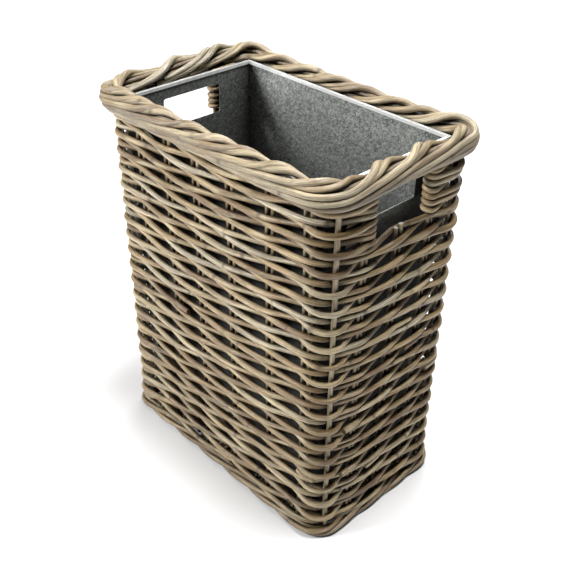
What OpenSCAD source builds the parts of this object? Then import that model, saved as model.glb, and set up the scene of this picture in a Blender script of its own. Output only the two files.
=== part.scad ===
// Wicker log basket with a lift-out metal liner.
// Millimetres, +Z up, +X along the length, origin at the centre of the foot's underside.
// The weave is a three-rod wale: in every row two rods pass outside the stakes and one inside.

/* [Basket body] */
// Half of the length of the weave at the foot
foot_half_length = 188.5; // [180:0.5:195]
// Half of the width of the weave at the foot
foot_half_width = 112; // [112:0.5:120]
// How far each end leans out between the foot and the border
end_lean = 1.5; // [1:0.5:4]
// How far each long side leans out between the foot and the border
side_lean = 4; // [3:0.5:6]
// Outer radius of the upright corners
corner_radius = 32; // [28:1:32]
// Height of the underside of the border
border_underside = 454; // [453.5:0.5:457]

/* [Rods] */
// Diameter of the weaving rods
weaver_d = 6.1; // [5.2:0.1:6.1]
// Diameter of the rods that the border is made of
border_rod_d = 7.2; // [6:0.1:7.2]
// Diameter of each rod of a stake pair
pair_stake_d = 5.2; // [4.4:0.1:5.2]
// Diameter of the single corner stakes
corner_stake_d = 6.2; // [5:0.1:6.2]
// Diameter of the rods in the foot
foot_rod_d = 6.8; // [5.6:0.1:6.8]
// Spacing of the stake pairs along the long sides
pair_spacing = 56.5; // [50:0.5:58]

/* [Hand holes] */
// Distance from the middle of an end to the middle of a wrapped post
post_offset = 51; // [51:0.5:54]
// Width of the hand hole in the liner
hole_width = 88; // [70:1:94]
// Height of the hand hole in the liner
hole_height = 38; // [30:1:38]

/* [Liner] */
// Half of the liner's length at its rim
liner_half_length = 163; // [150:0.5:163]
// Half of the liner's width at its rim
liner_half_width = 96; // [85:0.5:96]
// Narrowing of each end of the liner down to its floor
liner_end_taper = 4; // [3:0.5:8]
// Narrowing of each long side of the liner down to its floor
liner_side_taper = 4.5; // [4.5:0.5:8]
// Thickness of the sheet steel
sheet = 1; // [0.8:0.1:1.2]
// Height of the liner's rim above the ground
liner_top = 467.8; // [462:0.1:468]

/* [Hidden] */
$fn = 48;
GAP = 0.05; // rods of the basket lie this far apart
STEP = 0.05; // ring sizes are rounded to this, so that straights and bends meet exactly
FIRST_ROW_Z = 26.4;
ROW_PITCH = 23.3;
weaver_r = weaver_d / 2;
border_r = border_rod_d / 2;
foot_r = foot_rod_d / 2;
// depths below the outer face of the weave
OUTER_IN = weaver_r;
STAKE_IN = weaver_d + GAP + corner_stake_d / 2;
INNER_IN = weaver_d + corner_stake_d + 2 * GAP + weaver_r;
// how far round a corner each stake stands from an end: one rod at one side of the end, a pair at the other
SINGLE_STAKE_ANGLE = 21;
PAIR_STAKE_ANGLES = [20, 46];
STAKE_FOOT_Z = 14;
STAKE_TOP_Z = 453;
CORNER_STAKE_FOOT_Z = 22;
LOW_STAKE_TOP_Z = 403;
PAIRS_PER_SIDE = 6;
FIRST_PAIR_X = 156.5;
// how far each pair on a long side stands off an even spacing, from the right
PAIR_DRIFT = [-4.5, -4.5, -10.5, -11, -5, 0];
SIDE_PAIR_STEP = 4.4; // each rod of a pair lies this far from the middle of the pair
MIDDLE_PAIR_STEP = 3.8;
SPLICE = 0.05; // the straights of a woven rod stop this far from its bends
POST_GAP_END = 62; // the interrupted row stops this far from the middle of an end
WRAP_TURNS = 8;
WRAP_PITCH = 5;
WRAP_FIRST_Z = 409.4;
WRAP_TUBE_R = 2.6;
WRAP_RING_R = 8;
// foot: depth below the outer face, and height, of each rod
FOOT_FLAT = 0.4; // the lowest rods are worn flat by this much
FOOT_RODS = [[4.6, 0], [3.6, 1], [12, 0]];
BASE_STICK_D = 8;
BASE_STICKS = 5;
BASE_STICK_SPACING = 38;
BASE_STICK_Z = 11;
BASE_EDGE_IN = 15.5;
MAT_ROD_D = 6.2;
MAT_TOP_Z = 21.5;
MAT_RODS = 61;
// border: middle line of the roll, and the oval that its rods lie on
BORDER_HALF_LENGTH = 185;
BORDER_HALF_WIDTH = 116;
BORDER_CORNER = 28;
BORDER_OVAL_OUT = 9.2;
BORDER_OVAL_UP = 11.9;
BORDER_CORE_STEP = 3.65; // each core rod lies this far above or below the middle of the roll
LINER_REST_GAP = 0.3;
LINER_Z = MAT_TOP_Z + LINER_REST_GAP;
HEM_SHEET = 0.9;
HEM_DROP = 6;
HEM_INNER_DROP = 4;
HEM_PLAY = 0.15;
WALL_TOP = liner_top - HEM_SHEET - HEM_PLAY;
WALL_H = WALL_TOP - LINER_Z;
HOLE_Z = 412;
HOLE_R = 3;
SEAM_PLAY = 0.15;
EPS = 0.01;
RATTAN = [0.62, 0.53, 0.41];
RATTAN_DARK = [0.46, 0.38, 0.29];
STEEL = [0.62, 0.64, 0.65];
STEEL_RIM = [0.78, 0.8, 0.81];

// half length and half width of the weave's outer face at a height
function half_length(z) = foot_half_length + end_lean * z / border_underside;
function half_width(z) = foot_half_width + side_lean * z / border_underside;
function to_step(v) = round(v / STEP) * STEP;

// a rod between two points
module rod(a, b, r) {
    d = b - a;
    length = norm(d);
    translate(a)
        rotate([0, acos(d.z / length), atan2(d.y, d.x)])
            cylinder(h = length, r = r);
}

// a quarter bend in the positive quadrant about the z axis
module bend(bend_r, r) {
    rotate_extrude(angle = 90)
        translate([bend_r, 0])
            circle(r = r);
}

// one long side of a ring with the bend at each of its ends
module ring_side(hx, hy, bend_r, r) {
    rod([-hx + bend_r, -hy, 0], [hx - bend_r, -hy, 0], r);
    translate([hx - bend_r, -hy + bend_r, 0])
        rotate([0, 0, -90])
            bend(bend_r, r);
    translate([-hx + bend_r, -hy + bend_r, 0])
        rotate([0, 0, 180])
            bend(bend_r, r);
}

// a closed ring of one rod around a rectangle with rounded corners
module ring(hx, hy, bend_r, r) {
    for (turn = [0, 180]) {
        rotate([0, 0, turn]) {
            ring_side(hx, hy, bend_r, r);
            rod([hx, -hy + bend_r, 0], [hx, hy - bend_r, 0], r);
        }
    }
}

// one bend and a straight that runs on from it along the right end, as far as stop
module ring_hook(hx, hy, bend_r, r, stop) {
    translate([hx - bend_r, -hy + bend_r, 0])
        rotate([0, 0, -90])
            bend(bend_r, r);
    rod([hx, -hy + bend_r, 0], [hx, -stop, 0], r);
}

// a woven rod, spliced beside each bend. stop is half of the width left open at each end
module woven_ring(hx, hy, bend_r, r, stop) {
    for (turn = [0, 180]) {
        rotate([0, 0, turn]) {
            rod([-hx + bend_r + SPLICE, -hy, 0], [hx - bend_r - SPLICE, -hy, 0], r);
            ring_hook(hx, hy, bend_r, r, stop);
            mirror([0, 1, 0])
                ring_hook(hx, hy, bend_r, r, stop);
        }
    }
}

// one rod of the weave, at a depth below the outer face
module weave_rod(z, depth, cut) {
    hx = to_step(half_length(z) - depth);
    hy = to_step(half_width(z) - depth);
    bend_r = corner_radius - depth;
    translate([0, 0, z])
        woven_ring(hx, hy, bend_r, weaver_r, cut ? POST_GAP_END : 0);
}

// a row of three rods: two outside the stakes, one inside them
module wale_row(index, cut = false) {
    z = FIRST_ROW_Z + (index - 1) * ROW_PITCH;
    step = weaver_r + GAP;
    weave_rod(z - step, OUTER_IN, cut);
    weave_rod(z + step, OUTER_IN, cut);
    weave_rod(z, INNER_IN, cut);
}

// one rod of the border, all the way round: how far out and how far up it lies in the roll
module border_rod(out, up) {
    translate([0, 0, border_underside + border_r + BORDER_OVAL_UP + up])
        ring(BORDER_HALF_LENGTH + out, BORDER_HALF_WIDTH + out, BORDER_CORNER + out, border_r);
}

// a rod on the oval, at an angle: 0 is the outermost, 90 the highest
module border_oval_rod(angle) {
    border_rod(to_step(BORDER_OVAL_OUT * cos(angle)), to_step(BORDER_OVAL_UP * sin(angle)));
}

// one rod of the foot, all the way round
module foot_rod(depth_level) {
    depth = depth_level[0];
    z = foot_r - FOOT_FLAT + depth_level[1] * (foot_rod_d + 2 * GAP);
    difference() {
        translate([0, 0, z])
            ring(foot_half_length - depth, foot_half_width - depth,
                 corner_radius - depth, foot_r);
        translate([-foot_half_length - foot_rod_d, -foot_half_width - foot_rod_d, -foot_rod_d])
            cube([2 * (foot_half_length + foot_rod_d), 2 * (foot_half_width + foot_rod_d),
                  foot_rod_d]);
    }
}

// a pair of rods side by side on the front side, at a distance along it
module side_pair(x, top) {
    y0 = -half_width(STAKE_FOOT_Z) + STAKE_IN;
    y1 = -half_width(top) + STAKE_IN;
    for (s = [-SIDE_PAIR_STEP, SIDE_PAIR_STEP]) {
        rod([x + s, y0, STAKE_FOOT_Z], [x + s, y1, top], pair_stake_d / 2);
    }
}

// a pair of rods side by side on the right end
module end_pair(y, top, step) {
    x0 = half_length(STAKE_FOOT_Z) - STAKE_IN;
    x1 = half_length(top) - STAKE_IN;
    for (s = [-step, step]) {
        rod([x0, y + s, STAKE_FOOT_Z], [x1, y + s, top], pair_stake_d / 2);
    }
}

function corner_point(z, angle) = let(r = corner_radius - STAKE_IN) [
    half_length(z) - corner_radius + r * cos(angle),
    -half_width(z) + corner_radius - r * sin(angle),
    z
];

module corner_stake(angle, d) {
    rod(corner_point(CORNER_STAKE_FOOT_Z, angle), corner_point(STAKE_TOP_Z, angle), d / 2);
}

module side_pairs() {
    for (i = [0 : PAIRS_PER_SIDE - 1]) {
        side_pair(FIRST_PAIR_X - i * pair_spacing + PAIR_DRIFT[i], STAKE_TOP_Z);
    }
}

module end_pairs() {
    end_pair(0, LOW_STAKE_TOP_Z, MIDDLE_PAIR_STEP);
    for (s = [-1, 1]) {
        end_pair(s * post_offset, STAKE_TOP_Z, pair_stake_d / 2 + GAP);
    }
}

// strands wound round the post beside a hand hole
module post_wrap(side_x, side_y) {
    for (i = [0 : WRAP_TURNS - 1]) {
        z = WRAP_FIRST_Z + i * WRAP_PITCH;
        translate([side_x * (half_length(z) - STAKE_IN), side_y * post_offset, z])
            rotate_extrude()
                translate([WRAP_RING_R, 0])
                    circle(r = WRAP_TUBE_R);
    }
}

// liner: half sizes at a height above its floor
function liner_x(h) = liner_half_length - liner_end_taper * (1 - h / WALL_H);
function liner_y(h) = liner_half_width - liner_side_taper * (1 - h / WALL_H);

// a leaning wall of the liner that faces -Y
module wall(low_half, high_half, low_out, high_out) {
    lean = atan2(high_out - low_out, WALL_H);
    slant = WALL_H / cos(lean);
    translate([0, -low_out + sheet, LINER_Z])
        rotate([90 + lean, 0, 0])
            linear_extrude(height = sheet)
                polygon([[-low_half, 0], [low_half, 0], [high_half, slant], [-high_half, slant]]);
}

module long_wall() {
    wall(liner_x(0), liner_x(WALL_H), liner_y(0), liner_y(WALL_H));
}

// a rectangle with rounded corners, drawn from circles and squares
module rounded_window(w, h, r) {
    square([w - 2 * r, h], center = true);
    square([w, h - 2 * r], center = true);
    for (sx = [-1, 1]) {
        for (sy = [-1, 1]) {
            translate([sx * (w / 2 - r), sy * (h / 2 - r)])
                circle(r = r);
        }
    }
}

module end_wall() {
    inset = sheet + SEAM_PLAY;
    rotate([0, 0, 90])
        difference() {
            wall(liner_y(0) - inset, liner_y(WALL_H) - inset, liner_x(0), liner_x(WALL_H));
            translate([0, -liner_half_length + 2 * liner_end_taper, HOLE_Z + hole_height / 2])
                rotate([90, 0, 0])
                    linear_extrude(height = 3 * liner_end_taper)
                        rounded_window(hole_width, hole_height, HOLE_R);
        }
}

// folded strip over the top edge of a wall that faces -Y; the inner lip is shorter
module hem(out, half, lip_half) {
    outer = out + HEM_PLAY;
    inner = out - sheet - HEM_PLAY;
    translate([-half, -outer - HEM_SHEET, liner_top - HEM_DROP])
        cube([2 * half, HEM_SHEET, HEM_DROP]);
    translate([-half, -outer - EPS, liner_top - HEM_SHEET])
        cube([2 * half, outer - inner + EPS, HEM_SHEET]);
    translate([-lip_half, -inner - EPS, liner_top - HEM_INNER_DROP])
        cube([2 * lip_half, HEM_SHEET + EPS, HEM_INNER_DROP]);
}

module long_hem() {
    half = liner_half_length + HEM_PLAY + HEM_SHEET;
    hem(liner_half_width, half, liner_half_length - sheet - 2 * HEM_PLAY);
}

module end_hem() {
    half = liner_half_width - sheet - 2 * HEM_PLAY;
    rotate([0, 0, 90])
        hem(liner_half_length, half, half - HEM_SHEET - HEM_PLAY);
}

// wale rows, numbered from the foot up
module wale_row_01() {
    color(RATTAN) wale_row(1);
}

module wale_row_02() {
    color(RATTAN) wale_row(2);
}

module wale_row_03() {
    color(RATTAN) wale_row(3);
}

module wale_row_04() {
    color(RATTAN) wale_row(4);
}

module wale_row_05() {
    color(RATTAN) wale_row(5);
}

module wale_row_06() {
    color(RATTAN) wale_row(6);
}

module wale_row_07() {
    color(RATTAN) wale_row(7);
}

module wale_row_08() {
    color(RATTAN) wale_row(8);
}

module wale_row_09() {
    color(RATTAN) wale_row(9);
}

module wale_row_10() {
    color(RATTAN) wale_row(10);
}

module wale_row_11() {
    color(RATTAN) wale_row(11);
}

module wale_row_12() {
    color(RATTAN) wale_row(12);
}

module wale_row_13() {
    color(RATTAN) wale_row(13);
}

module wale_row_14() {
    color(RATTAN) wale_row(14);
}

module wale_row_15() {
    color(RATTAN) wale_row(15);
}

module wale_row_16() {
    color(RATTAN) wale_row(16);
}

module wale_row_17() {
    color(RATTAN) wale_row(17);
}

// the top two rows stop at the wrapped posts beside the hand holes
module wale_row_18() {
    color(RATTAN) wale_row(18, true);
}

module wale_row_19() {
    color(RATTAN) wale_row(19, true);
}

// upright stakes that the rows are woven on
module stakes_front() {
    color(RATTAN_DARK) side_pairs();
}

module stakes_back() {
    color(RATTAN_DARK) rotate([0, 0, 180]) side_pairs();
}

module stakes_right_end() {
    color(RATTAN_DARK) end_pairs();
}

module stakes_left_end() {
    color(RATTAN_DARK) rotate([0, 0, 180]) end_pairs();
}

module corner_stakes() {
    for (turn = [0, 180]) {
        color(RATTAN_DARK)
            rotate([0, 0, turn]) {
                corner_stake(SINGLE_STAKE_ANGLE, corner_stake_d);
                mirror([0, 1, 0])
                    for (angle = PAIR_STAKE_ANGLES) {
                        corner_stake(angle, pair_stake_d);
                    }
            }
    }
}

module post_wrap_right_front() {
    color(RATTAN) post_wrap(1, -1);
}

module post_wrap_right_back() {
    color(RATTAN) post_wrap(1, 1);
}

module post_wrap_left_front() {
    color(RATTAN) post_wrap(-1, -1);
}

module post_wrap_left_back() {
    color(RATTAN) post_wrap(-1, 1);
}

module foot_strand_1() {
    color(RATTAN) foot_rod(FOOT_RODS[0]);
}

module foot_strand_2() {
    color(RATTAN) foot_rod(FOOT_RODS[1]);
}

module foot_strand_3() {
    color(RATTAN) foot_rod(FOOT_RODS[2]);
}

// thick sticks under the base
module base_sticks() {
    half = foot_half_length - BASE_EDGE_IN;
    for (i = [0 : BASE_STICKS - 1]) {
        y = (i - (BASE_STICKS - 1) / 2) * BASE_STICK_SPACING;
        color(RATTAN_DARK)
            rod([-half, y, BASE_STICK_Z], [half, y, BASE_STICK_Z], BASE_STICK_D / 2);
    }
}

// cross rods packed side by side: the floor that the liner stands on
module base_mat() {
    half_x = foot_half_length - BASE_EDGE_IN;
    half_y = foot_half_width - BASE_EDGE_IN;
    pitch = 2 * half_x / (MAT_RODS - 1);
    z = MAT_TOP_Z - MAT_ROD_D / 2;
    color(RATTAN)
        for (i = [0 : MAT_RODS - 1]) {
            x = -half_x + i * pitch;
            rod([x, -half_y, z], [x, half_y, z], MAT_ROD_D / 2);
        }
}

module border_outer_1() {
    color(RATTAN) border_oval_rod(-90);
}

module border_outer_2() {
    color(RATTAN) border_oval_rod(-45);
}

module border_outer_3() {
    color(RATTAN) border_oval_rod(0);
}

module border_outer_4() {
    color(RATTAN) border_oval_rod(45);
}

module border_top_1() {
    color(RATTAN) border_oval_rod(90);
}

module border_inner_1() {
    color(RATTAN) border_oval_rod(135);
}

module border_inner_2() {
    color(RATTAN) border_oval_rod(180);
}

module border_inner_3() {
    color(RATTAN) border_oval_rod(225);
}

module border_core_1() {
    color(RATTAN_DARK) border_rod(0, -BORDER_CORE_STEP);
}

module border_core_2() {
    color(RATTAN_DARK) border_rod(0, BORDER_CORE_STEP);
}

module liner_floor() {
    color(STEEL)
        translate([-liner_x(0) + 2 * sheet, -liner_y(0) + 2 * sheet, LINER_Z])
            cube([2 * (liner_x(0) - 2 * sheet), 2 * (liner_y(0) - 2 * sheet), sheet]);
}

module liner_wall_front() {
    color(STEEL) long_wall();
}

module liner_wall_back() {
    color(STEEL) rotate([0, 0, 180]) long_wall();
}

module liner_end_right() {
    color(STEEL) end_wall();
}

module liner_end_left() {
    color(STEEL) rotate([0, 0, 180]) end_wall();
}

module liner_hem_front() {
    color(STEEL_RIM) long_hem();
}

module liner_hem_back() {
    color(STEEL_RIM) rotate([0, 0, 180]) long_hem();
}

module liner_hem_right() {
    color(STEEL_RIM) end_hem();
}

module liner_hem_left() {
    color(STEEL_RIM) rotate([0, 0, 180]) end_hem();
}

wale_row_01();
wale_row_02();
wale_row_03();
wale_row_04();
wale_row_05();
wale_row_06();
wale_row_07();
wale_row_08();
wale_row_09();
wale_row_10();
wale_row_11();
wale_row_12();
wale_row_13();
wale_row_14();
wale_row_15();
wale_row_16();
wale_row_17();
wale_row_18();
wale_row_19();
stakes_front();
stakes_back();
stakes_right_end();
stakes_left_end();
corner_stakes();
post_wrap_right_front();
post_wrap_right_back();
post_wrap_left_front();
post_wrap_left_back();
foot_strand_1();
foot_strand_2();
foot_strand_3();
base_sticks();
base_mat();
border_outer_1();
border_outer_2();
border_outer_3();
border_outer_4();
border_top_1();
border_inner_1();
border_inner_2();
border_inner_3();
border_core_1();
border_core_2();
liner_floor();
liner_wall_front();
liner_wall_back();
liner_end_right();
liner_end_left();
liner_hem_front();
liner_hem_back();
liner_hem_right();
liner_hem_left();
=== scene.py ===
"""Wicker log basket: twill-woven rattan body, rolled border, wrapped hand holes and a galvanised liner.

Lengths are millimetres until a mesh is made. The basket's rods are swept tubes that follow one outline, and
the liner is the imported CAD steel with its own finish.
"""
import math

import bpy
import numpy as np
from mathutils import Matrix, Vector


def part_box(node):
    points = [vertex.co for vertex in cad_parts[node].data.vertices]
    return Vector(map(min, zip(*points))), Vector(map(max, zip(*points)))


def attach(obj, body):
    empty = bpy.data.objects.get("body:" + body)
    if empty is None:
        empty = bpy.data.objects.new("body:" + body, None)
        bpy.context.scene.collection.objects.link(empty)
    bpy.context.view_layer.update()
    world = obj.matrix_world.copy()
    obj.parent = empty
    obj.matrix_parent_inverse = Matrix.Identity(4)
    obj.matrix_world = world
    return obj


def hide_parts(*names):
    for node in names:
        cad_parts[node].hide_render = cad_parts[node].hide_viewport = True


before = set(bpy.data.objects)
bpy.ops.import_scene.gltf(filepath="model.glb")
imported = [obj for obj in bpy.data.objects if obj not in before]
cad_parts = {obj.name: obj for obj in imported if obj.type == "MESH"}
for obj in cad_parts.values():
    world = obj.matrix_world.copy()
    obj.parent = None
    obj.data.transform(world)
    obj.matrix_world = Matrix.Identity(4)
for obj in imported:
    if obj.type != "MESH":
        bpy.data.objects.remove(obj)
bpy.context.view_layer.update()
MM = 0.001
rng = np.random.default_rng(20)


# ---------------------------------------------------------------- sizes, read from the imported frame
def box_mm(node):
    low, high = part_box(node)
    return np.array(low) / MM, np.array(high) / MM


first_row = box_mm("wale_row_01")
last_row = box_mm("wale_row_17")
under_box = box_mm("border_outer_1")
top_box = box_mm("border_top_1")
side_box = box_mm("border_outer_3")
front_stakes = box_mm("stakes_front")
end_stakes = box_mm("stakes_right_end")
mat_box = box_mm("base_mat")
stick_box = box_mm("base_sticks")

CORNER_RADIUS = 32.0
STAKE_IN = 10.8  # the stakes' middle line is this far below the outer face
PAIR_ROD_R = 2.6
SIDE_PAIR_STEP = 4.4
MIDDLE_PAIR_STEP = 3.8
CORNER_ROD_R, CORNER_ROD_TONE = 3.1, 0.75
TRAIL_ROD_R, TRAIL_OUT = PAIR_ROD_R + 0.2, 0.75  # the corner pair, and how far its middle stands out
FULL_ROWS = 17
LEVELS = 57
ROW_PITCH = (last_row[0][2] - first_row[0][2]) / (FULL_ROWS - 1)
LEVEL_PITCH = ROW_PITCH / 3  # three rods make a row
FIRST_LEVEL_Z = (first_row[0][2] + first_row[1][2]) / 2 - 1.5 * LEVEL_PITCH
HOLE_BOTTOM_Z = 402.0
MIDDLE_STAKE_TOP_Z = HOLE_BOTTOM_Z - 1.5  # the pair under a hand hole stops just below it
STAKE_TOP_Z = 455.0  # the other stakes run up into the border
PAIRS_ON_SIDE = 6


def outer_half(z):
    """Half length and half width of the weave's outer face at height z."""
    z_low = (first_row[0][2] + first_row[1][2]) / 2
    z_high = (last_row[0][2] + last_row[1][2]) / 2
    t = (np.asarray(z, float) - z_low) / (z_high - z_low)
    return (
        first_row[1][0] + t * (last_row[1][0] - first_row[1][0]),
        first_row[1][1] + t * (last_row[1][1] - first_row[1][1]),
    )


def smooth(t):
    t = np.clip(t, 0, 1)
    return t * t * (3 - 2 * t)


# ---------------------------------------------------------------- the outline that everything follows
MID_X, MID_Y = (half - STAKE_IN for half in outer_half(230.0))
MID_R = CORNER_RADIUS - STAKE_IN
LONG_RUN = 2 * (MID_X - MID_R)
SHORT_RUN = 2 * (MID_Y - MID_R)
BEND_RUN = math.pi / 2 * MID_R
KNOTS = np.concatenate([[0], np.cumsum([LONG_RUN, BEND_RUN, SHORT_RUN, BEND_RUN] * 2)])
TURN = KNOTS[-1]


def plan(s, half_x, half_y, radius):
    """Points and outward normals of a rounded rectangle. s is the distance along the stakes' middle line,
    from the front left corner, and goes to the right as seen from outside."""
    q = np.interp(np.mod(s, TURN), KNOTS, np.arange(9))
    run = np.minimum(q.astype(int), 7)
    part = q - run
    turn = (run // 2) * (math.pi / 2)
    t = np.stack([np.cos(turn), np.sin(turn)], -1)
    n = np.stack([np.sin(turn), -np.cos(turn)], -1)
    across = (run // 2) % 2 == 1
    along = np.where(across, half_y, half_x) - radius
    out = np.where(across, half_x, half_y)
    bend = run % 2 == 1
    angle = np.where(bend, part, 0) * (math.pi / 2)
    normal = n * np.cos(angle)[:, None] + t * np.sin(angle)[:, None]
    straight = t * ((2 * part - 1) * along)[:, None] + n * out[:, None]
    curved = t * along[:, None] + n * (out - radius)[:, None] + normal * np.asarray(radius)
    return np.where(bend[:, None], curved, straight), normal


FLARE, FLARE_LOW, FLARE_HIGH = 2.2, 15.0, 70.0  # the lowest rows stand out a little


def on_weave(s, z, out):
    """Points at height z, out millimetres outside the stakes' middle line, and their outward normals."""
    s, z, out = np.broadcast_arrays(*(np.atleast_1d(np.asarray(v, float)) for v in (s, z, out)))
    half_x, half_y = outer_half(z)
    point, normal = plan(s, half_x - STAKE_IN, half_y - STAKE_IN, MID_R)
    flare = FLARE * (1 - smooth((z - FLARE_LOW) / (FLARE_HIGH - FLARE_LOW)))
    flat = point + normal * (out + flare)[:, None]
    return np.column_stack([flat, z]), np.column_stack([normal, np.zeros(len(z))])


# ---------------------------------------------------------------- stakes
PAIR_DRIFT = (0, -5, -11, -10.5, -4.5, -4.5)  # how far each pair stands off an even spacing
FIRST_PAIR_X = front_stakes[0][0] + SIDE_PAIR_STEP + PAIR_ROD_R
LAST_PAIR_X = front_stakes[1][0] - SIDE_PAIR_STEP - PAIR_ROD_R
PAIR_SPACING = (LAST_PAIR_X - PAIR_DRIFT[-1] - FIRST_PAIR_X) / (PAIRS_ON_SIDE - 1)
POST_Y = end_stakes[1][1] - 2 * PAIR_ROD_R
# a single stake stands 21 degrees round the corner before each end, and a pair 20 and 46 degrees after it
LEAD_STAKE_BACK = BEND_RUN * 21 / 90
TRAIL_STAKE_ON, TRAIL_PAIR_STEP = BEND_RUN * 29 / 90, BEND_RUN * 17 / 90

side_s = [FIRST_PAIR_X + MID_X - MID_R + k * PAIR_SPACING + PAIR_DRIFT[k] for k in range(PAIRS_ON_SIDE)]
end_s = [KNOTS[2] + MID_Y - MID_R + y for y in (-POST_Y, 0, POST_Y)]
half_turn = side_s + [KNOTS[2] - LEAD_STAKE_BACK] + end_s + [KNOTS[3] + TRAIL_STAKE_ON]
stake_s = np.array(half_turn + [s + TURN / 2 for s in half_turn])
STAKES = len(stake_s)
HALF_ROUND = STAKES // 2  # this many stakes further on, everything repeats
CORNER_STAKES = (6, 10, 17, 21)
MIDDLE_STAKES = (8, 19)
LEAD_CORNER, NEAR_POST, FAR_POST = 6, 7, 9
POSTS = (NEAR_POST, FAR_POST, NEAR_POST + HALF_ROUND, FAR_POST + HALF_ROUND)
all_k = np.arange(-STAKES, 2 * STAKES)
all_s = np.concatenate([stake_s - TURN, stake_s, stake_s + TURN])


def stake_at(k):
    """Distance along the outline of stake k, which may be counted into the next turn."""
    return np.interp(k, all_k, all_s)


def station(s):
    return np.interp(s, all_s, all_k)


# ---------------------------------------------------------------- rods as tubes
class Rods:
    """Gathers swept tubes into one mesh with the values that the rattan finish reads."""

    def __init__(self):
        self.points, self.faces, self.smooth = [], [], []
        self.uv, self.tone, self.mark = [], [], []
        self.count = 0

    def add(self, path, radius, reference, sides=10, tone=0.5, marks=(), cut=(True, True)):
        path = np.asarray(path, float)
        length = np.concatenate([[0], np.cumsum(np.linalg.norm(np.diff(path, axis=0), axis=1))])
        tangent = np.gradient(path, axis=0)
        tangent /= np.linalg.norm(tangent, axis=1)[:, None]
        up = reference - tangent * np.sum(reference * tangent, 1)[:, None]
        up /= np.linalg.norm(up, axis=1)[:, None]
        side = np.cross(tangent, up)
        radius = np.broadcast_to(radius, len(path)).astype(float)
        mark = np.zeros(len(path))
        for at in marks:
            near = np.abs(length - at)
            mark = np.maximum(mark, np.clip(1.6 - near / 1.3, 0, 1))
            radius = radius * (1 + 0.07 * np.exp(-((near / 2.2) ** 2)))
        angle = np.arange(sides) * 2 * math.pi / sides
        lobe = 1 + 0.045 * np.sin(2 * angle[None, :] + length[:, None] / 37 + tone * 40)
        lobe = lobe + 0.03 * np.sin(3 * angle[None, :] - length[:, None] / 53 + tone * 91)
        spread = np.cos(angle)[None, :, None] * up[:, None] + np.sin(angle)[None, :, None] * side[:, None]
        ring = path[:, None] + spread * (radius[:, None] * lobe)[:, :, None]
        rows = len(path)
        first = self.count
        index = first + np.arange(rows * sides).reshape(rows, sides)
        quads = np.stack([index[:-1], np.roll(index[:-1], -1, 1), np.roll(index[1:], -1, 1), index[1:]], -1)
        self.points.append(ring.reshape(-1, 3))
        self.faces += quads.reshape(-1, 4).tolist()
        self.smooth += [True] * (len(quads) * sides)
        shift = rng.uniform(0, 50)
        around = np.arange(sides + 1) / sides * 2 * math.pi * radius.mean() * MM
        v = length * MM + shift
        corner = np.zeros((rows - 1, sides, 4, 2))
        corner[..., 0, 0] = corner[..., 3, 0] = around[:-1]
        corner[..., 1, 0] = corner[..., 2, 0] = around[1:]
        corner[..., 0, 1] = corner[..., 1, 1] = v[:-1, None]
        corner[..., 2, 1] = corner[..., 3, 1] = v[1:, None]
        corner[..., 0] += shift
        self.uv.append(corner.reshape(-1, 2))
        self.tone.append(np.full(rows * sides, tone))
        self.mark.append(np.repeat(mark, sides))
        self.count += rows * sides
        for end, wanted in ((0, cut[0]), (rows - 1, cut[1])):
            if wanted:
                self._cap(ring[end], path[end], end > 0, tone, shift)

    def _cap(self, ring, middle, far, tone, shift):
        sides = len(ring)
        base = self.count
        self.points.append(np.vstack([ring, middle[None]]))
        for i in range(sides):
            j = (i + 1) % sides
            first, second = (i, j) if far else (j, i)
            self.faces.append([base + first, base + second, base + sides])
            self.smooth.append(False)
            self.uv.append(np.full((3, 2), shift))
        self.tone.append(np.full(sides + 1, tone))
        self.mark.append(np.append(np.full(sides, 0.75), 0.2))
        self.count += sides + 1

    def build(self, name, material, body="basket", slot="rattan", replaced=()):
        mesh = bpy.data.meshes.new(name)
        mesh.from_pydata((np.vstack(self.points) * MM).tolist(), [], self.faces)
        mesh.polygons.foreach_set("use_smooth", self.smooth)
        layer = mesh.uv_layers.new(name="along")
        layer.data.foreach_set("uv", np.vstack(self.uv).astype(np.float32).ravel())
        for label, values in (("tone", self.tone), ("mark", self.mark)):
            attribute = mesh.attributes.new(label, "FLOAT", "POINT")
            attribute.data.foreach_set("value", np.concatenate(values).astype(np.float32))
        mesh.materials.append(material)
        mesh.update()
        piece = bpy.data.objects.new(name, mesh)
        bpy.context.scene.collection.objects.link(piece)
        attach(piece, body)
        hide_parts(*replaced)
        return piece


def sample(start, end, step=4.6, marks=()):
    """Distances from start to end, close together at each mark so that the mark is round."""
    count = max(3, int(abs(end - start) / step) + 1)
    s = np.linspace(start, end, count)
    extra = [m + d for m in marks for d in (-3.5, -1.6, 0, 1.6, 3.5)]
    low, high = min(start, end), max(start, end)
    extra = [e for e in extra if low + 0.5 < e < high - 0.5]
    s = np.unique(np.concatenate([s, extra]))
    s = s[np.concatenate([[True], np.diff(s) > 0.4])]
    return s if end > start else s[::-1]


def joints_along(length):
    """Places of the dark rings on a rod."""
    places, at = [], rng.uniform(20, 200)
    while at < length - 8:
        places.append(at)
        at += rng.uniform(110, 300)
    return places


def wander(s, size, seed):
    """A slow, smooth, repeatable wobble."""
    a, b, c = seed * 1.7 + 0.3, seed * 2.9 + 1.1, seed * 4.3 + 2.2
    return size * (0.5 * np.sin(s / 61 + a) + 0.3 * np.sin(s / 29 + b) + 0.2 * np.sin(s / 13 + c))


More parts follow.
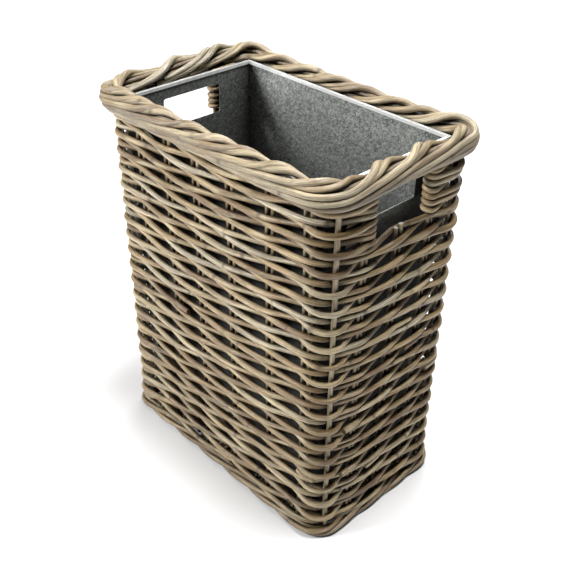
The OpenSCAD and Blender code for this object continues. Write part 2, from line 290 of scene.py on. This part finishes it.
# ---------------------------------------------------------------- weave
# how far the middle of a strand lies outside the stakes' middle line
FIRST_OUT, SECOND_OUT = 4.9, 6.2  # in front of the two stakes of a float
FLOAT_OUT = 7.8  # half way between those two
RISING_OUT, DIVING_OUT = 0.2, -0.2  # half way from behind to in front, and back
BEHIND_OUT = -5.2
PAIR_PULL = 0.35  # a float lies this much high at its first stake and low at its second
HOOK_REACH = 6.0  # how far a strand that turns round a post swings out and past it
POST_WRAP_Z, POST_WRAP_R = 457.0, 2.4
# height of a strand above its level at the front pairs, the front right corner and the right end
RISE = {0: 0, 1: -5, 2: -6, 3: -5.9, 4: -1.6, 5: 4, 6: 0, 7: -1, 8: 0, 9: 1, 10: 0, 11: 1, 12: 1}
# how much more it is lifted at the foot, where the first rows ride over the ends of the foot rods
FOOT_LIFT = {0: 7, 1: 11, 2: 10.5, 3: 9, 4: 5.5, 5: 2}
FOOT_LIFT_LOW, FOOT_LIFT_HIGH = 25.0, 125.0
TURN_START, TURN_END = -5, 17
CLIMB_START, CLIMB_END = 9.7, 10.9  # each strand rises to the next level at the back right corner
rise_k = np.arange(TURN_START, TURN_END + 1)
rise_mm = np.array([RISE.get(k, 1.5 * math.sin(2.1 * k)) for k in rise_k])
rise_mm[-1] = rise_mm[0]
lift_mm = np.array([FOOT_LIFT.get(k, 0.0) for k in rise_k])
half_k = np.arange(-STAKES, 2 * STAKES - 0.5, 0.5)
half_s = stake_at(half_k)


def behind(level, k):
    """A 2/1 twill, but only every third strand shows in front of the two corner stakes that lead an end."""
    if k % STAKES in (LEAD_CORNER, LEAD_CORNER + HALF_ROUND) and (level + k) % 3 == 1:
        return True
    return (level + k) % 3 == 0


def curve(x, at, values):
    """A smooth curve through points. Each slope is taken from the two neighbours."""
    slope = np.gradient(values, at)
    i = np.clip(np.searchsorted(at, x) - 1, 0, len(at) - 2)
    width = at[i + 1] - at[i]
    t = (x - at[i]) / width
    ends = values[i] * (1 + 2 * t) * (1 - t) ** 2 + values[i + 1] * (3 - 2 * t) * t ** 2
    return ends + width * t * (1 - t) * (slope[i] * (1 - t) - slope[i + 1] * t)


def strand_height(level, s):
    k = station(s)
    at = stake_at(rise_k)
    rise = curve(s, at, rise_mm)
    lift = curve(s, at, lift_mm)
    climb = LEVEL_PITCH * smooth((k - CLIMB_START) / (CLIMB_END - CLIMB_START))
    pull = np.array([PAIR_PULL * ((level + j) % 3 == 1) - PAIR_PULL * ((level + j) % 3 == 2)
                     for j in rise_k])
    z = FIRST_LEVEL_Z + level * LEVEL_PITCH
    foot = 1 - smooth((z - FOOT_LIFT_LOW) / (FOOT_LIFT_HIGH - FOOT_LIFT_LOW))
    return z + rise + climb + lift * foot + curve(s, at, pull)


def strand_out(level, s, forced=None):
    """How far a strand lies outside the stakes' middle line."""
    forced = forced or {}

    def side(k):
        if k in forced:
            return forced[k]
        if behind(level, k):
            return BEHIND_OUT
        return FIRST_OUT if behind(level, k - 1) else SECOND_OUT

    def between(k):
        a, b = side(k), side(k + 1)
        if a > 0 and b > 0:
            return FLOAT_OUT
        if a < 0 and b < 0:
            return BEHIND_OUT
        return DIVING_OUT if a > 0 else RISING_OUT

    values = [side(int(k)) if k == int(k) else between(math.floor(k)) for k in half_k]
    return curve(s, half_s, np.array(values))


def rod_parts(level, k_start, k_end):
    """Splits a strand into rods at stakes that it passes behind."""
    cuts = [k for k in range(k_start + 4, k_end - 3) if behind(level, k)]
    chosen, last = [], k_start
    for k in cuts:
        if k - last > 5 and rng.uniform() < 0.22:
            chosen.append(k)
            last = k
    edges = [k_start] + chosen + [k_end]
    return list(zip(edges[:-1], edges[1:]))


def strand_tone():
    return float(np.clip(rng.normal(0.5, 0.27), 0.02, 0.98))


def weave_rod(rods, level, s0, s1, tone, front_start=False, front_end=False):
    radius = rng.uniform(3.05, 3.6)
    marks = joints_along(s1 - s0)
    s = sample(s0, s1, marks=[s0 + m for m in marks])
    out = strand_out(level, s)
    if front_start:
        out = np.where(s < s0 + 26, SECOND_OUT + 1.2 * (1 - smooth((s - s0) / 26)), out)
    if front_end:
        out = np.where(s > s1 - 22, SECOND_OUT + 1.0 * smooth((s - s1 + 22) / 22), out)
    seed = rng.uniform(0, 100)
    z = strand_height(level, s) + wander(s, 0.6, seed)
    path, normal = on_weave(s, z, out + wander(s, 0.35, seed + 5))
    taper = 1 + 0.06 * np.cos(math.pi * (s - s0) / max(s1 - s0, 1))
    rods.add(path, radius * taper, normal, tone=tone, marks=marks, cut=(front_start, front_end))


def hooked_rod(rods, level, k0, k1, tone):
    """A strand between two wrapped posts, which it turns round."""
    low, high = stake_at(k0), stake_at(k1)
    forced = {k0: SECOND_OUT, k1: SECOND_OUT}
    s = sample(low, high)
    seed = rng.uniform(0, 100)
    flat_s, out, z = s, strand_out(level, s, forced), strand_height(level, s) + wander(s, 0.6, seed)
    turn = np.linspace(0, math.pi, 9)[1:]
    for end, direction in ((low, -1), (high, 1)):
        arc_s = end + direction * (PAIR_ROD_R + HOOK_REACH * np.sin(turn))
        arc_out = HOOK_REACH * np.cos(turn)
        back_s = end - direction * np.linspace(4, 26, 6)
        arc_s = np.concatenate([arc_s, back_s])
        arc_out = np.concatenate([arc_out, np.full(6, BEHIND_OUT)])
        arc_z = strand_height(level, np.full(len(arc_s), end)) + np.linspace(0, 2.5, len(arc_s))
        if direction > 0:
            flat_s, out, z = (np.concatenate(p) for p in ((flat_s, arc_s), (out, arc_out), (z, arc_z)))
        else:
            flat_s, out, z = (np.concatenate(p) for p in ((arc_s[::-1], flat_s), (arc_out[::-1], out),
                                                          (arc_z[::-1], z)))
    path, _ = on_weave(flat_s, z, out)
    up = np.broadcast_to([0.0, 0.0, 1.0], path.shape)
    rods.add(path, rng.uniform(3.2, 3.6), up, tone=tone, marks=joints_along(600), cut=(False, False))


def make_weave(material):
    for row in range(FULL_ROWS + 2):
        rods = Rods()
        for level in range(3 * row, min(3 * row + 3, LEVELS)):
            z_end = FIRST_LEVEL_Z + level * LEVEL_PITCH
            if z_end > HOLE_BOTTOM_Z:
                hooked_rod(rods, level, FAR_POST - HALF_ROUND, NEAR_POST, strand_tone())
                hooked_rod(rods, level, FAR_POST, NEAR_POST + HALF_ROUND, strand_tone())
                continue
            for a, b in rod_parts(level, TURN_START, TURN_END):
                style = rng.uniform()
                s0, s1 = stake_at(a), stake_at(b)
                front_start = a > TURN_START and style < 0.2
                front_end = b < TURN_END and style > 0.86
                if front_start:
                    s0 = stake_at(a + 0.42)
                if front_end:
                    s1 = stake_at(b - 0.45)
                weave_rod(rods, level, s0, s1, strand_tone(), front_start, front_end)
        rods.build(f"weave_row_{row + 1:02d}", material, replaced=[f"wale_row_{row + 1:02d}"])


# ---------------------------------------------------------------- stakes, posts, foot, base
def upright(rods, s, z0, z1, radius, tone, cut_top=False, out=0.0):
    z = np.linspace(z0, z1, max(4, int((z1 - z0) / 9)))
    seed = rng.uniform(0, 100)
    path, _ = on_weave(s + wander(z, 0.5, seed), z, out + wander(z, 0.3, seed + 3))
    reference = np.broadcast_to([0.6, 0.8, 0.0], path.shape)
    rods.add(path, radius, reference, sides=8, tone=tone, marks=joints_along(z1 - z0), cut=(True, cut_top))


def make_stakes(material):
    low = front_stakes[0][2]
    groups = (("stakes_front", range(0, 6)), ("stakes_right_end", range(7, 10)),
              ("stakes_back", range(11, 17)), ("stakes_left_end", range(18, 21)))
    for name, members in groups:
        rods = Rods()
        for k in members:
            middle, post = k in MIDDLE_STAKES, k in POSTS
            top = MIDDLE_STAKE_TOP_Z if middle else STAKE_TOP_Z
            step = PAIR_ROD_R + 0.1 if post else MIDDLE_PAIR_STEP if middle else SIDE_PAIR_STEP
            for side in (-1, 1):
                upright(rods, stake_s[k] + side * step, low, top + side, PAIR_ROD_R, strand_tone(), middle)
        rods.build(name.replace("stakes", "uprights"), material, slot="rattan_stake", replaced=[name])
    rods = Rods()
    for k in CORNER_STAKES:
        if k in (LEAD_CORNER, LEAD_CORNER + HALF_ROUND):
            upright(rods, stake_s[k], low, STAKE_TOP_Z, CORNER_ROD_R, CORNER_ROD_TONE)
            continue
        for side in (-1, 1):
            upright(rods, stake_s[k] + side * TRAIL_PAIR_STEP, low, STAKE_TOP_Z, TRAIL_ROD_R, strand_tone(),
                    out=TRAIL_OUT * (1 + side))
    rods.build("uprights_corner", material, slot="rattan_stake", replaced=["corner_stakes"])


def make_post_wraps(material):
    """One thin strand above the top row that wraps each post."""
    posts = (("post_wrap_right_front", NEAR_POST, 1),
             ("post_wrap_right_back", FAR_POST, -1),
             ("post_wrap_left_back", NEAR_POST + HALF_ROUND, 1),
             ("post_wrap_left_front", FAR_POST + HALF_ROUND, -1))
    turn = np.linspace(0, math.pi, 9)
    reach = np.linspace(0, 1, 9)[1:]
    for name, k, direction in posts:
        rods = Rods()
        post = stake_s[k]
        corner = stake_s[(k - direction) % STAKES]
        arc_s = post + direction * (PAIR_ROD_R + HOOK_REACH * np.sin(turn))
        front_s = (post + (corner - direction * 5 - post) * reach)[::-1]
        back_s = post + (corner - post) * reach
        front_out = (HOOK_REACH - 9.0 * smooth((reach - 0.45) / 0.55))[::-1]
        s = np.concatenate([front_s, arc_s, back_s])
        out = np.concatenate([front_out, HOOK_REACH * np.cos(turn), np.full(len(reach), -HOOK_REACH)])
        slope = np.linspace(-1.2, 1.6, len(s))
        path, _ = on_weave(s, POST_WRAP_Z + slope + wander(s, 0.5, 0), out)
        up = np.broadcast_to([0.0, 0.0, 1.0], path.shape)
        rods.add(path, POST_WRAP_R, up, tone=strand_tone(), cut=(False, False))
        rods.build(name + "_rods", material, replaced=[name])


FOOT_TWIST = 150.0
FOOT_OUT = 4.8
FOOT_MID_Z, FOOT_TWIST_R, FOOT_ROD_R = 7.6, 4.0, 3.3


def make_foot(material):
    """Three rods twisted round one another."""
    for i in range(3):
        rods = Rods()
        s = sample(0.0, TURN, step=4.5)
        turns = round(TURN / FOOT_TWIST)
        angle = 2 * math.pi * (turns * s / TURN + i / 3)
        z = FOOT_MID_Z + FOOT_TWIST_R * np.sin(angle)
        path, normal = on_weave(s, z, FOOT_OUT + FOOT_TWIST_R * np.cos(angle))
        rods.add(path, FOOT_ROD_R, normal, tone=strand_tone(), marks=joints_along(TURN), cut=(False, False))
        rods.build(f"foot_rod_{i + 1}", material, replaced=[f"foot_strand_{i + 1}"])


def make_base(material):
    sticks = Rods()
    reach = stick_box[1][0]
    count = 5
    ys = np.linspace(stick_box[0][1] + 4, stick_box[1][1] - 4, count)
    stick_z = (stick_box[0][2] + stick_box[1][2]) / 2
    for y in ys:
        x = np.linspace(-reach, reach, 40)
        path = np.column_stack([x, y + wander(x, 0.6, y), np.full(40, stick_z)])
        sticks.add(path, 4.0, np.broadcast_to([0.0, 0.0, 1.0], path.shape), tone=strand_tone())
    sticks.build("base_sticks_round", material, slot="rattan_stake", replaced=["base_sticks"])
    mat = Rods()
    reach_y = mat_box[1][1]
    rod_r = 2.7
    x_end = mat_box[1][0] - rod_r
    places = np.arange(-x_end, x_end + 1, 5.8)
    lift = 4.0 + rod_r
    for i, x0 in enumerate(places):
        y = np.linspace(-reach_y, reach_y, 70)
        phase = math.pi * (y - ys[0]) / (ys[1] - ys[0])
        z = stick_z + lift * np.cos(phase) * (1 if i % 2 else -1)
        path = np.column_stack([x0 + wander(y, 0.4, i), y, np.clip(z, rod_r + 0.4, None)])
        mat.add(path, rod_r, np.broadcast_to([1.0, 0.0, 0.0], path.shape), sides=8, tone=strand_tone())
    mat.build("base_weave", material, replaced=["base_mat"])


# ---------------------------------------------------------------- border
BORDER_ROD_R = 3.6
BORDER_MID_X, BORDER_MID_Y = top_box[1][0] - BORDER_ROD_R, top_box[1][1] - BORDER_ROD_R
BORDER_R = 28.0
OVAL_Z = (under_box[0][2] + top_box[1][2]) / 2
OVAL_OUT = side_box[1][0] - top_box[1][0]
OVAL_UP = (top_box[1][2] - under_box[0][2]) / 2 - BORDER_ROD_R
# the roll isn't quite level: how far it lies above its middle height at the stakes
BORDER_RISE = {8: 1.5, 11: -5, 12: -5, 13: -5, 14: -5, 15: -5, 16: -4, 17: 0, 18: 3, 19: 2, 20: 0}
LONG_SIDE_FLATTER = 2.4  # the crossings stand up less along the long sides
CREST_LIFT = 4.2  # how far a main rod's crossing stands off the roll
BORDER_TUCK = 0.6  # where it lies lower it also lies further in, by this share of the drop
border_rise = np.array([BORDER_RISE.get(k % STAKES, 0) for k in all_k], float)
oval_angle = np.linspace(-120, 250, 741)


def oval(angle_deg):
    """Offset from the border's middle line and height of the roll's rods at an angle: 0 out, 90 up."""
    a = np.radians(angle_deg)
    return OVAL_OUT * np.cos(a), OVAL_Z + OVAL_UP * np.sin(a)


_oval_n, _oval_z = oval(oval_angle)
oval_run = np.concatenate([[0], np.cumsum(np.hypot(np.diff(_oval_n), np.diff(_oval_z)))])


def run_at(angle_deg):
    return np.interp(angle_deg, oval_angle, oval_run)


def on_border(s, angle_deg, lift):
    """Points on the border's roll, lift millimetres outside its surface, and their outward directions."""
    offset, z = oval(angle_deg)
    a = np.radians(angle_deg)
    out = np.stack([np.cos(a) / OVAL_OUT, np.sin(a) / OVAL_UP], -1)
    out /= np.linalg.norm(out, axis=1)[:, None]
    rise = curve(np.mod(s, TURN), all_s, border_rise)
    offset = offset + out[:, 0] * lift + BORDER_TUCK * np.minimum(rise, 0)
    z = z + out[:, 1] * lift + rise
    point, normal = plan(s, BORDER_MID_X + 0 * s, BORDER_MID_Y + 0 * s, BORDER_R)
    flat = point + normal * offset[:, None]
    direction = np.column_stack([normal * out[:, :1], out[:, 1]])
    return np.column_stack([flat, z]), direction


def border_rod(rods, s_start, keys, radius, tone):
    """One rod of the border. keys are (distance along, angle on the roll, lift)."""
    keys = np.array(keys, float)
    shift = rng.uniform(-5, 5)
    reach = np.concatenate([[keys[0, 0]], keys[1:, 0] + shift])
    s = sample(0.0, reach[-1] - reach[0], step=4.5) + reach[0]
    run = smooth_keys(s, reach, run_at(keys[:, 1] + rng.uniform(-3, 3)))
    angle = np.interp(run, oval_run, oval_angle)
    lift = smooth_keys(s, reach, keys[:, 2]) + wander(s, 0.5, rng.uniform(0, 99))
    middle = np.exp(-((np.mod(s_start + s, TURN / 2) - LONG_RUN / 2) / (0.36 * LONG_RUN)) ** 4)
    lift = lift - LONG_SIDE_FLATTER * middle * np.clip(lift / CREST_LIFT, 0, 1)
    path, direction = on_border(s_start + s, angle, lift)
    crest = np.exp(-(((angle - 100) / 45) ** 2))
    taper = (1 - 0.12 * smooth((s - reach[0]) / (reach[-1] - reach[0]))) * (1 + 0.12 * crest)
    rods.add(path, radius * taper, direction, sides=12, tone=tone, marks=joints_along(reach[-1]))


def smooth_keys(x, keys, values):
    """A smooth curve through a few keys: the average of three shifted straight-line readings."""
    width = 9.0
    return sum(np.interp(x + d, keys, values) for d in (-width, -width / 2, 0, width / 2, width)) / 5


MAIN_KEYS = [(0, -112, -4), (20, -84, -1.2), (50, -64, 0), (214, 34, 0.3), (230, 52, 1.6), (242, 78, 3.6),
             (254, 112, CREST_LIFT), (267, 144, 2.4), (290, 172, -0.2), (316, 200, -2), (338, 224, -4)]
THUMB_KEYS = [(150, -8, -6.5), (190, 14, -3.4), (228, 42, -1.2), (252, 76, 1.2), (264, 108, 2.0),
              (278, 142, 0.8), (302, 172, -1.4), (326, 200, -3.6)]


CORE_LIFT, CORE_ROD_R = -6, 3.2  # plain rods that fill the roll


def make_border(material):
    outer, second, core = Rods(), Rods(), Rods()
    for k in range(STAKES):
        border_rod(outer, stake_s[k], MAIN_KEYS, rng.uniform(3.8, 4.3), strand_tone())
        border_rod(second, stake_s[k], THUMB_KEYS, rng.uniform(3.4, 3.9), strand_tone())
    for angle in (0, 70, 180, -70):
        s = sample(0.0, TURN, step=6.0)
        path, direction = on_border(s, np.full(len(s), float(angle)), CORE_LIFT + wander(s, 1.2, angle))
        core.add(path, CORE_ROD_R, direction, tone=strand_tone(), cut=(False, False))
    outer.build("border_rods_main", material,
                replaced=[f"border_outer_{i}" for i in range(1, 5)] + ["border_top_1"])
    second.build("border_rods_second", material, replaced=[f"border_inner_{i}" for i in range(1, 4)])
    core.build("border_rods_core", material, replaced=["border_core_1", "border_core_2"])


# ---------------------------------------------------------------- finishes
class Nodes:
    """Short calls for building a material's node tree."""

    def __init__(self, name):
        self.material = bpy.data.materials.new(name)
        self.material.use_nodes = True
        self.tree = self.material.node_tree
        self.shader = self.tree.nodes["Principled BSDF"]

    def add(self, kind, **settings):
        node = self.tree.nodes.new(kind)
        for key, value in settings.items():
            setattr(node, key, value)
        return node

    def link(self, a, b):
        self.tree.links.new(a, b)

    def attribute(self, name):
        return self.add("ShaderNodeAttribute", attribute_name=name).outputs["Fac"]

    def scaled(self, source, scale):
        node = self.add("ShaderNodeMapping")
        node.inputs["Scale"].default_value = scale
        self.link(source, node.inputs["Vector"])
        return node.outputs["Vector"]

    def noise(self, vector, scale, detail=3.0, roughness=0.6):
        node = self.add("ShaderNodeTexNoise")
        node.inputs["Scale"].default_value = scale
        node.inputs["Detail"].default_value = detail
        node.inputs["Roughness"].default_value = roughness
        self.link(vector, node.inputs["Vector"])
        return node.outputs["Fac"]

    def ramp(self, source, stops):
        node = self.add("ShaderNodeValToRGB")
        ramp = node.color_ramp
        while len(ramp.elements) < len(stops):
            ramp.elements.new(0.5)
        for element, (place, colour) in zip(ramp.elements, stops):
            element.position = place
            element.color = (*colour, 1) if hasattr(colour, "__len__") else (colour,) * 3 + (1,)
        self.link(source, node.inputs["Fac"])
        return node.outputs["Color"]

    def mix(self, factor, a, b, mode="MIX"):
        node = self.add("ShaderNodeMix", data_type="RGBA", blend_type=mode)
        for value, socket in ((factor, node.inputs["Factor"]), (a, node.inputs["A"]), (b, node.inputs["B"])):
            if isinstance(value, bpy.types.NodeSocket):
                self.link(value, socket)
            else:
                socket.default_value = value
        return node.outputs["Result"]

    def math(self, operation, *values):
        node = self.add("ShaderNodeMath", operation=operation)
        for value, socket in zip(values, node.inputs):
            if isinstance(value, bpy.types.NodeSocket):
                self.link(value, socket)
            else:
                socket.default_value = value
        return node.outputs["Value"]

    def bump(self, height, strength, distance):
        node = self.add("ShaderNodeBump")
        node.inputs["Strength"].default_value = strength
        node.inputs["Distance"].default_value = distance
        self.link(height, node.inputs["Height"])
        return node.outputs["Normal"]


def srgb(r, g, b):
    """A display colour in 0 to 255 as the linear one that shaders use."""
    shares = (r / 255, g / 255, b / 255)
    return tuple(c / 12.92 if c <= 0.04045 else ((c + 0.055) / 1.055) ** 2.4 for c in shares)


CREVICE_REACH, STEEL_SHADE_REACH = 0.016, 0.05  # how near something has to be to get the painted contact shade, metres


def rattan_finish(name, lightness=1.0, bleached=0.08):
    """Greyed rattan skin: streaks along the rod, dark rings, weathered patches, painted shade in crevices,
    and darker towards the foot, partly as painted shade. lightness scales the whole colour, and the border's
    copy lowers it as painted shade. bleached is how far it is washed out to a pale grey."""
    n = Nodes(name)
    along = n.add("ShaderNodeUVMap", uv_map="along").outputs["UV"]
    place = n.add("ShaderNodeTexCoord").outputs["Object"]
    tone = n.attribute("tone")
    base = n.ramp(tone, [(0.0, srgb(124, 86, 46)), (0.3, srgb(172, 138, 88)), (0.55, srgb(206, 176, 126)),
                         (0.8, srgb(230, 210, 170)), (1.0, srgb(212, 202, 176))])
    streak = n.noise(n.scaled(along, (1100, 14, 1)), 1.0, 4.0, 0.65)
    fine = n.noise(n.scaled(along, (2600, 50, 1)), 1.0, 3.0, 0.6)
    patch = n.noise(n.scaled(along, (160, 22, 1)), 1.0, 3.0, 0.55)
    fleck = n.noise(n.scaled(along, (1500, 260, 1)), 1.0, 2.0, 0.5)
    dust = n.noise(place, 38.0, 4.0, 0.6)
    streaked = n.mix(n.ramp(streak, [(0.40, 0.95), (0.56, 0.0)]), base, (*srgb(96, 72, 36), 1))
    lit = n.mix(n.ramp(patch, [(0.5, 0.0), (0.68, 0.65)]), streaked, (*srgb(232, 216, 172), 1))
    dulled = n.mix(n.ramp(dust, [(0.45, 0.0), (0.72, 0.5)]), lit, (*srgb(116, 102, 66), 1))
    bleach = n.mix(bleached, dulled, (*srgb(214, 205, 184), 1))
    grain = n.mix(0.5, bleach, n.ramp(fine, [(0.32, 0.35), (0.66, 1.0)]), "MULTIPLY")
    flecked = n.mix(n.ramp(fleck, [(0.66, 0.0), (0.74, 0.75)]), grain, (*srgb(70, 50, 28), 1))
    ringed = n.mix(n.math("MULTIPLY", n.attribute("mark"), 0.8), flecked, (*srgb(74, 54, 34), 1))
    # painted shade: darker where other rods are near
    crevice = n.add("ShaderNodeAmbientOcclusion", samples=4)
    crevice.inputs["Distance"].default_value = CREVICE_REACH
    painted_contact_shade = n.ramp(crevice.outputs["AO"], [(0.2, 0.04), (0.72, 1.0)])
    # painted darker towards the foot, partly as shade
    height = n.add("ShaderNodeSeparateXYZ")
    n.link(place, height.inputs[0])
    painted_foot_shade = n.ramp(height.outputs["Z"], [(0.0, 0.72 * lightness), (0.3, lightness)])
    colour = n.mix(1.0, n.mix(1.0, ringed, painted_contact_shade, "MULTIPLY"), painted_foot_shade, "MULTIPLY")
    n.link(colour, n.shader.inputs["Base Color"])
    n.link(n.math("MULTIPLY_ADD", streak, 0.35, 0.18), n.shader.inputs["Roughness"])
    n.shader.inputs["Specular IOR Level"].default_value = 0.7
    relief = n.math("MULTIPLY_ADD", fine, 0.3, n.math("MULTIPLY", streak, 0.7))
    n.link(n.bump(relief, 0.9, 0.0011), n.shader.inputs["Normal"])
    return n.material


CRYSTAL_SIZE = 0.0021  # metres


def steel_finish(name, grey, roughness, outside):
    """Galvanised sheet: small crystals of slightly different grey. The inside is painted darker lower down,
    partly as shade, the faces that look away from the liner's middle are scaled by outside, which is painted
    shade where it is below one, and painted shade darkens it near other things."""
    n = Nodes(name)
    coordinates = n.add("ShaderNodeTexCoord")
    place = coordinates.outputs["Object"]
    cells = n.add("ShaderNodeTexVoronoi", feature="F1")
    cells.inputs["Scale"].default_value = 1 / CRYSTAL_SIZE
    n.link(n.mix(0.02, place, n.noise(place, 300.0, 2.0, 0.5)), cells.inputs["Vector"])
    crystal = n.add("ShaderNodeSeparateColor")
    n.link(cells.outputs["Color"], crystal.inputs["Color"])
    blotch = n.noise(place, 9.0, 3.0, 0.5)
    low, high = (tuple(c * f for c in grey) for f in (0.3, 2.0))
    tint = n.ramp(crystal.outputs["Red"], [(0.0, low), (0.5, grey), (1.0, high)])
    worn = n.mix(n.ramp(blotch, [(0.4, 0.0), (0.75, 0.35)]), tint, (*(c * 0.7 for c in grey), 1))
    flat = n.scaled(place, (1, 1, 0))
    outward = n.add("ShaderNodeVectorMath", operation="DOT_PRODUCT")
    n.link(flat, outward.inputs[0])
    n.link(coordinates.outputs["Normal"], outward.inputs[1])
    hidden = n.math("GREATER_THAN", outward.outputs["Value"], 0.03)
    height = n.add("ShaderNodeSeparateXYZ")
    n.link(place, height.inputs[0])
    # painted shade: the inside darker lower down
    painted_depth_shade = n.ramp(height.outputs["Z"], [(0.30, 0.42), (0.40, 0.62), (0.455, 1.0)])
    shade = n.mix(hidden, painted_depth_shade, (outside, outside, outside, 1))
    # painted shade: darker near other things
    near = n.add("ShaderNodeAmbientOcclusion", samples=4)
    near.inputs["Distance"].default_value = STEEL_SHADE_REACH
    painted_contact_shade = n.ramp(near.outputs["AO"], [(0.45, 0.06), (0.9, 1.0)])
    n.link(n.mix(1.0, n.mix(1.0, worn, painted_contact_shade, "MULTIPLY"), shade, "MULTIPLY"), n.shader.inputs["Base Color"])
    n.shader.inputs["Metallic"].default_value = 0.45
    n.link(n.math("MULTIPLY_ADD", crystal.outputs["Green"], 0.15, roughness), n.shader.inputs["Roughness"])
    n.link(n.bump(n.noise(place, 900.0, 2.0, 0.5), 0.15, 0.0004), n.shader.inputs["Normal"])
    return n.material


RIM_HALF = 0.0016  # half the thickness of the folded edge, metres


def rim_finish(name):
    """The folded edge: painted highlights on its two bends, dark along the joint between them."""
    n = Nodes(name)
    place = n.add("ShaderNodeTexCoord").outputs["Object"]
    split = n.add("ShaderNodeSeparateXYZ")
    n.link(place, split.inputs[0])
    off = []
    for axis, node in (("X", "liner_hem_right"), ("Y", "liner_hem_back")):
        edge_low, edge_high = (corner["XY".index(axis)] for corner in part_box(node))
        off.append(n.math("SUBTRACT", n.math("ABSOLUTE", split.outputs[axis]), (edge_low + edge_high) / 2))
    across = n.math("ABSOLUTE", n.math("MAXIMUM", *off))
    worn = n.noise(place, 60.0, 3.0, 0.6)
    # the bright stop is a painted highlight on the bends, and the dark stop is the joint
    joint_and_bend_highlight = [(0.25, (0.05, 0.052, 0.05)), (0.5, (0.9, 0.91, 0.9))]
    shade = n.ramp(n.math("MULTIPLY", across, 1 / RIM_HALF), joint_and_bend_highlight)
    rubbed = n.mix(n.ramp(worn, [(0.5, 0.0), (0.75, 0.35)]), shade, (0.22, 0.23, 0.22, 1))
    n.link(rubbed, n.shader.inputs["Base Color"])
    n.shader.inputs["Metallic"].default_value = 0.3
    n.link(n.math("MULTIPLY_ADD", worn, 0.2, 0.25), n.shader.inputs["Roughness"])
    return n.material


rattan = rattan_finish("rattan_skin")
stake_rattan = rattan_finish("rattan_stake_skin")
# lightness 0.69 darkens the border's copy as painted shade where the top light falls strongly on it
border_rattan = rattan_finish("rattan_border_skin", 0.69, 0.2)
# outside 0.6 paints shade on the liner's outer faces
galvanised = steel_finish("galvanised_spangle", (0.355, 0.37, 0.35), 0.36, 0.6)
# a darker copy of the galvanised finish for the end sheets: painted shade
shaded_steel = steel_finish("galvanised_ends", (0.19, 0.20, 0.185), 0.40, 1.1)
rim_steel = rim_finish("rim_steel")


def finish_liner():
    """The CAD steel stays as it is and takes its finish."""
    for name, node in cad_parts.items():
        if name.startswith("liner_"):
            node.data.materials.clear()
            hem, end = name.startswith("liner_hem"), name.startswith("liner_end")
            node.data.materials.append(rim_steel if hem else shaded_steel if end else galvanised)


# ---------------------------------------------------------------- floor, light, camera
def make_floor():
    mesh = bpy.data.meshes.new("floor")
    half = 12.0
    corners = [(-half, -half, 0), (half, -half, 0), (half, half, 0), (-half, half, 0)]
    mesh.from_pydata(corners, [], [(0, 1, 2, 3)])
    n = Nodes("floor_paper")
    place = n.add("ShaderNodeTexCoord").outputs["Object"]
    n.link(n.ramp(n.noise(place, 3.0), [(0.3, 0.70), (0.7, 0.74)]), n.shader.inputs["Base Color"])
    n.shader.inputs["Roughness"].default_value = 0.9
    mesh.materials.append(n.material)
    floor = bpy.data.objects.new("floor", mesh)
    bpy.context.scene.collection.objects.link(floor)


def aim(obj, target):
    obj.rotation_euler = (Vector(target) - obj.location).to_track_quat("-Z", "Y").to_euler()


def make_lights():
    world = bpy.data.worlds.new("studio")
    world.use_nodes = True
    world.node_tree.nodes["Background"].inputs["Color"].default_value = (1, 1, 1, 1)
    world.node_tree.nodes["Background"].inputs["Strength"].default_value = 0.02
    bpy.context.scene.world = world
    lamps = (("key", (-1.4, -2.15, 1.95), 0.7, 114, (0, 0, 0.4)),
             ("top", (0.36, 0.15, 2.8), 0.8, 118, (0, 0, 0.25)),
             ("wash", (-1.8, 2.6, 2.4), 1.8, 90, (-1.8, 2.4, 0)))
    for name, place, size, power, target in lamps:
        light = bpy.data.lights.new(name, "AREA")
        light.size = size
        light.energy = power
        lamp = bpy.data.objects.new(name, light)
        lamp.location = place
        bpy.context.scene.collection.objects.link(lamp)
        aim(lamp, target)


AZIMUTH, ELEVATION, ROLL = 45.844, 33.417, 0.944  # degrees
CAMERA_PLACE = (0.6657, -0.6323, 0.84345)


def make_camera():
    data = bpy.data.cameras.new("camera")
    data.lens = 54.09
    data.sensor_width = 36.0
    data.shift_x, data.shift_y = 0.001, -0.0036
    az, el, roll = (math.radians(v) for v in (AZIMUTH, ELEVATION, ROLL))
    back = Vector((math.sin(az) * math.cos(el), -math.cos(az) * math.cos(el), math.sin(el)))
    right = Vector((0, 0, 1)).cross(back).normalized()
    up = back.cross(right)
    right, up = right * math.cos(roll) + up * math.sin(roll), up * math.cos(roll) - right * math.sin(roll)
    camera = bpy.data.objects.new("camera", data)
    turned = Matrix((right, up, back)).transposed().to_4x4()
    turned.translation = CAMERA_PLACE
    camera.matrix_world = turned
    bpy.context.scene.collection.objects.link(camera)
    bpy.context.scene.camera = camera


make_camera()
make_lights()
make_floor()
bpy.context.scene.view_settings.view_transform = "Standard"
make_weave(rattan)
make_stakes(stake_rattan)
make_post_wraps(rattan)
make_foot(rattan)
make_base(rattan)
make_border(border_rattan)
finish_liner()
